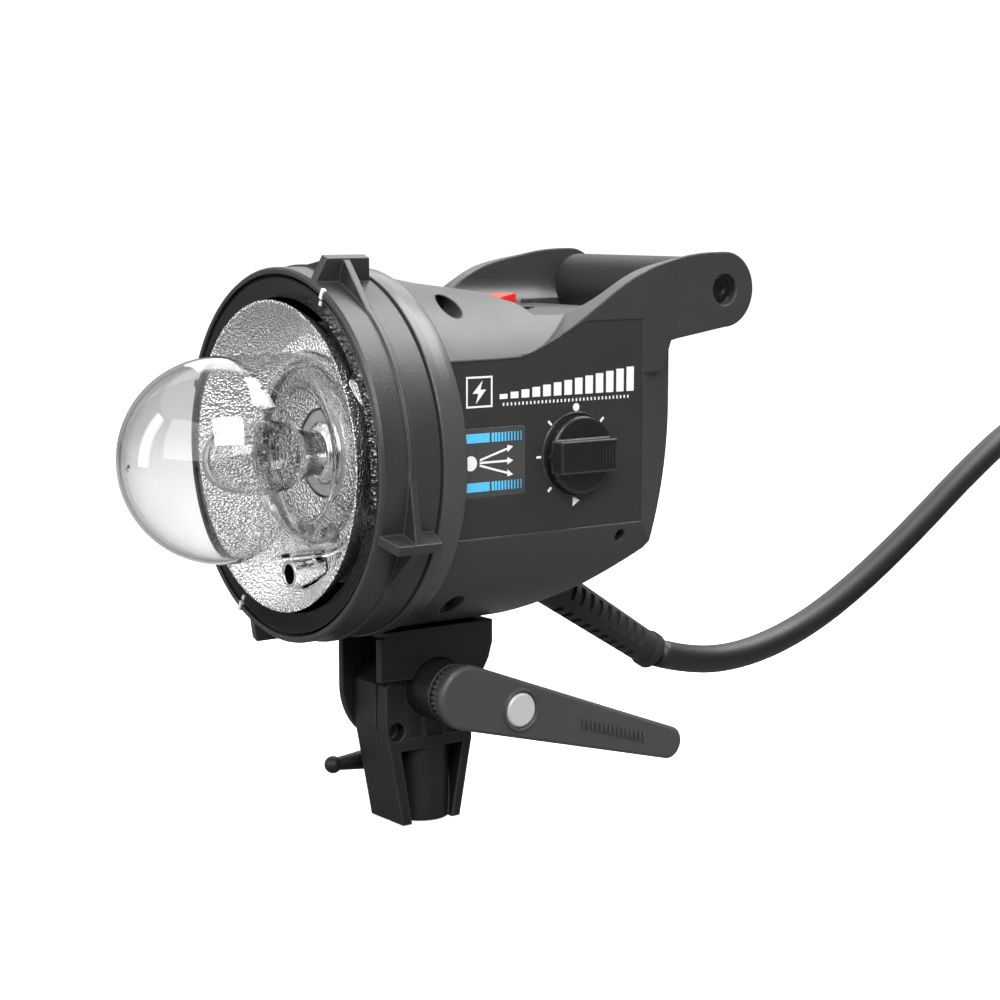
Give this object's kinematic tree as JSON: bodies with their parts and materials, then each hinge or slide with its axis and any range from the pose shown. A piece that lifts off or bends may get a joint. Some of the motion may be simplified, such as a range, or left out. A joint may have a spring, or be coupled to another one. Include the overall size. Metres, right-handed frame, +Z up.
{
  "type": "zoom flash head",
  "caption": "Pack-fed studio flash head: round lock ring, glass dome over a pebbled dish, zoom knob, rear carrying handle, lever-locked tilt clamp for a lighting stand and a heavy head cable.",
  "frame": {"origin": "centre of the stand socket's mouth, at the bottom of the clamp", "axes": "+Z up along the stand socket, -Y along the lamp axis towards the subject, +X towards the zoom knob"},
  "size_m": [0.2698, 0.69, 0.2474],
  "materials": {
    "shell_grey": "fine satin texture",
    "panel_grey": "matt",
    "black_plastic": "fine matt texture",
    "gloss_black": "gloss",
    "pebbled_aluminium": "hammered bright",
    "clear_glass": "polished",
    "bright_steel": "brushed",
    "cast_aluminium": "grey powder coat on a casting",
    "lever_grey": "satin moulded",
    "cap_aluminium": "satin domed cap",
    "ceramic": "glazed",
    "brass": "plain",
    "red_plastic": "gloss",
    "board_green": "lacquered",
    "cable_rubber": "satin rubber",
    "badge_grey": "matt film"
  },
  "bodies": {
    "stand_clamp": {"stand_socket": "cast_aluminium", "tilt_bolt": "bright_steel", "bolt_washer": "bright_steel", "friction_disc": "black_plastic", "head_cable": "cable_rubber", "cable_coil": "cable_rubber", "cable_tail": "cable_rubber", "plug_boot": "cable_rubber", "plug_shell": "black_plastic", "plug_collar": "bright_steel", "plug_insert": "bright_steel"},
    "tilt_lever": {"clamp_lever": "lever_grey", "ratchet_hub": "cast_aluminium", "lever_cap": "cap_aluminium"},
    "stud_lock": {"stud_lever": "black_plastic"},
    "stud_pad": {"stud_pad": "brass"},
    "head": {"shell_right": "shell_grey", "shell_left": "shell_grey", "side_panel_right": "panel_grey", "side_panel_left": "panel_grey", "zoom_badge": "badge_grey", "front_bezel": "shell_grey", "rear_panel": "panel_grey", "shell_screws": "bright_steel", "handle_grip": "black_plastic", "handle_bolts": "bright_steel", "switch_frame": "black_plastic", "throat": "gloss_black", "front_bulkhead": "bright_steel", "rear_bulkhead": "bright_steel", "rod_bushes": "brass", "shaft_bracket": "black_plastic", "shaft_bush": "brass", "umbrella_tube": "bright_steel", "control_board": "board_green", "trigger_coil": "black_plastic", "terminal_block": "black_plastic", "tilt_yoke": "cast_aluminium", "yoke_screws": "bright_steel", "strain_relief": "cable_rubber"},
    "lock_ring": {"lock_ring": "black_plastic"},
    "lamp_carriage": {"reflector_dish": "pebbled_aluminium", "carriage_plate": "bright_steel", "guide_rods": "bright_steel", "glass_dome": "clear_glass", "dome_clip_ring": "bright_steel", "flash_tube": "clear_glass", "tube_terminals": "black_plastic", "lamp_socket": "ceramic", "lamp_cap": "bright_steel", "modelling_lamp": "clear_glass", "zoom_rack": "black_plastic"},
    "zoom_knob": {"zoom_knob": "black_plastic", "knob_shaft": "bright_steel", "zoom_pinion": "black_plastic"},
    "switch_rocker": {"switch_rocker": "red_plastic"}
  },
  "joints": [
    {"name": "tilt", "type": "hinge", "parent": "stand_clamp", "child": "head", "pos_m": [0, -0.002, 0.0595], "axis": [1, 0, 0], "range_deg": [-45, 70], "deforming": ["head_cable"]},
    {"name": "tilt_lever_turn", "type": "hinge", "parent": "stand_clamp", "child": "tilt_lever", "pos_m": [0.036, -0.002, 0.0595], "axis": [1, 0, 0], "range_deg": [-70, 0]},
    {"name": "stud_lock_turn", "type": "hinge", "parent": "stand_clamp", "child": "stud_lock", "pos_m": [-0.02, 0, 0.021], "axis": [1, 0, 0], "range_deg": [0, 80]},
    {"name": "stud_pad_press", "type": "slide", "parent": "stand_clamp", "child": "stud_pad", "axis": [1, 0, 0], "range_m": [0, 0.0004]},
    {"name": "lock_ring_turn", "type": "hinge", "parent": "head", "child": "lock_ring", "pos_m": [0, -0.056, 0.164], "axis": [0, 1, 0], "range_deg": [0, 18]},
    {"name": "zoom_slide", "type": "slide", "parent": "head", "child": "lamp_carriage", "axis": [0, 1, 0], "range_m": [0, 0.0306]},
    {"name": "zoom_knob_turn", "type": "hinge", "parent": "head", "child": "zoom_knob", "pos_m": [0.066, 0.0379, 0.1633], "axis": [1, 0, 0], "range_deg": [0, 270]},
    {"name": "switch_rock", "type": "hinge", "parent": "head", "child": "switch_rocker", "pos_m": [-0.009, 0.044, 0.222], "axis": [1, 0, 0], "range_deg": [-8, 0]}
  ],
  "couplings": [
    {"joint": "zoom_knob_turn", "follows": "zoom_slide", "rad_per_m": 153.85},
    {"joint": "stud_pad_press", "follows": "stud_lock_turn", "m_per_rad": 0.00028}
  ]
}
